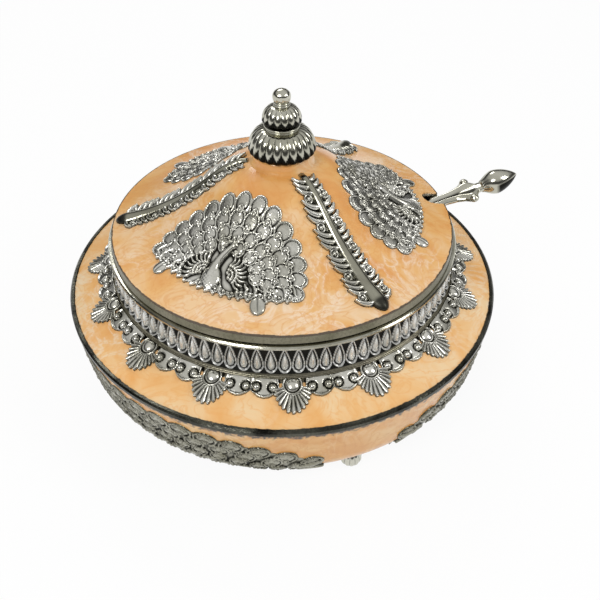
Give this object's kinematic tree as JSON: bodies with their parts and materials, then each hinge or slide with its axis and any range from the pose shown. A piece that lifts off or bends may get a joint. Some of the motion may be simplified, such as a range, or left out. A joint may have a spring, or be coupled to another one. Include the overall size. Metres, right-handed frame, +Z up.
{
  "type": "dry fruit box",
  "caption": "Round footed serving box: enamelled bowl with a brim and collar, lift-off ogee lid with a fluted finial, and a spoon that leaves through a notch in the lid's edge.",
  "frame": {"origin": "on the bowl's axis, on the plane of the three foot pads", "axes": "+Z up along the bowl's axis, +X to the side where the spoon leaves the lid, -Y to the front"},
  "size_m": [0.243, 0.231, 0.1615],
  "materials": {
    "plated_metal": "bright plated white metal, dark in the recesses of the relief",
    "peach_enamel": "glossy pearlescent peach enamel with pale and orange swirls",
    "fastener_steel": "plain steel"
  },
  "bodies": {
    "base": {"bowl_shell": "plated_metal", "rim_ring": "plated_metal", "brim_plate": "plated_metal", "collar": "plated_metal", "collar_flange": "plated_metal", "teardrop_gallery": "plated_metal", "brim_fans": "plated_metal", "brim_crescents": "plated_metal", "bowl_panel_1": "plated_metal", "bowl_panel_2": "plated_metal", "bowl_panel_3": "plated_metal", "foot_1": "plated_metal", "foot_2": "plated_metal", "foot_3": "plated_metal", "bowl_enamel": "peach_enamel", "brim_enamel": "peach_enamel", "foot_screws": "fastener_steel"},
    "lid": {"lid_shell": "plated_metal", "lid_band": "plated_metal", "lid_rib_1": "plated_metal", "lid_rib_2": "plated_metal", "lid_rib_3": "plated_metal", "lid_peacock_1": "plated_metal", "lid_peacock_2": "plated_metal", "lid_peacock_3": "plated_metal", "finial_base": "plated_metal", "finial_lower_bulb": "plated_metal", "finial_rings": "plated_metal", "finial_upper_bulb": "plated_metal", "finial_neck_ring": "plated_metal", "finial_tip": "plated_metal", "lid_enamel": "peach_enamel", "finial_stud": "fastener_steel", "finial_washer": "fastener_steel", "finial_nut": "fastener_steel"},
    "spoon": {"spoon_bowl": "plated_metal", "spoon_handle": "plated_metal"}
  },
  "joints": [
    {"name": "lid_lift", "type": "slide", "parent": "base", "child": "lid", "axis": [0, 0, 1], "range_m": [0, 0.15]},
    {"name": "spoon_tilt", "type": "hinge", "parent": "base", "child": "spoon", "pos_m": [0.08339, 0.01887, 0.0843], "axis": [-0.2207, 0.9753, 0], "range_deg": [0, 12]}
  ]
}
